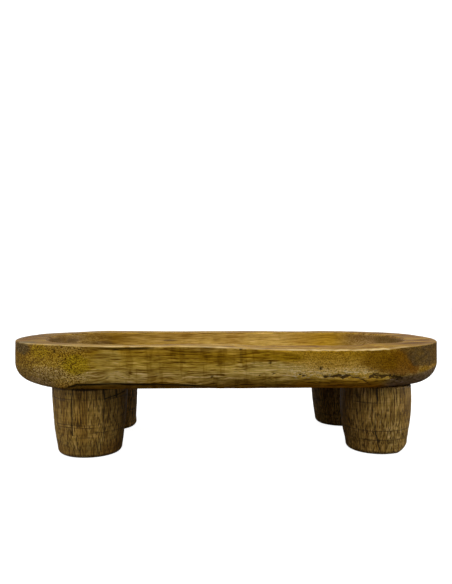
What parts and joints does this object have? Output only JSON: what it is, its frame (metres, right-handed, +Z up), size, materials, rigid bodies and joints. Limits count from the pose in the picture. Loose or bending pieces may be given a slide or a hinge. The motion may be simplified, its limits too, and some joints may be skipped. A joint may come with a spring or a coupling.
{
  "type": "wooden headrest",
  "caption": "Low oblong wooden headrest with a shallow hollowed top, a broad flat rim, a rounded underside and short turned barrel legs.",
  "frame": {"origin": "on the ground, under the middle of the dish", "axes": "+X along the length of the dish, +Y from its front long side to its back, +Z up"},
  "size_m": [0.4, 0.192, 0.096],
  "materials": {
    "dish_wood": "oiled open-pored hardwood, satin, brown-gold with olive and dark patches",
    "leg_wood": "oiled open-pored hardwood, satin, brown with dark upright streaks",
    "peg_wood": "bare straight-grained hardwood"
  },
  "bodies": {
    "root": {"dish": "dish_wood", "leg_front_left": "leg_wood", "leg_front_right": "leg_wood", "leg_rear_left": "leg_wood", "leg_rear_right": "leg_wood", "peg_front_left": "peg_wood", "peg_front_right": "peg_wood", "peg_rear_left": "peg_wood", "peg_rear_right": "peg_wood"}
  },
  "joints": []
}
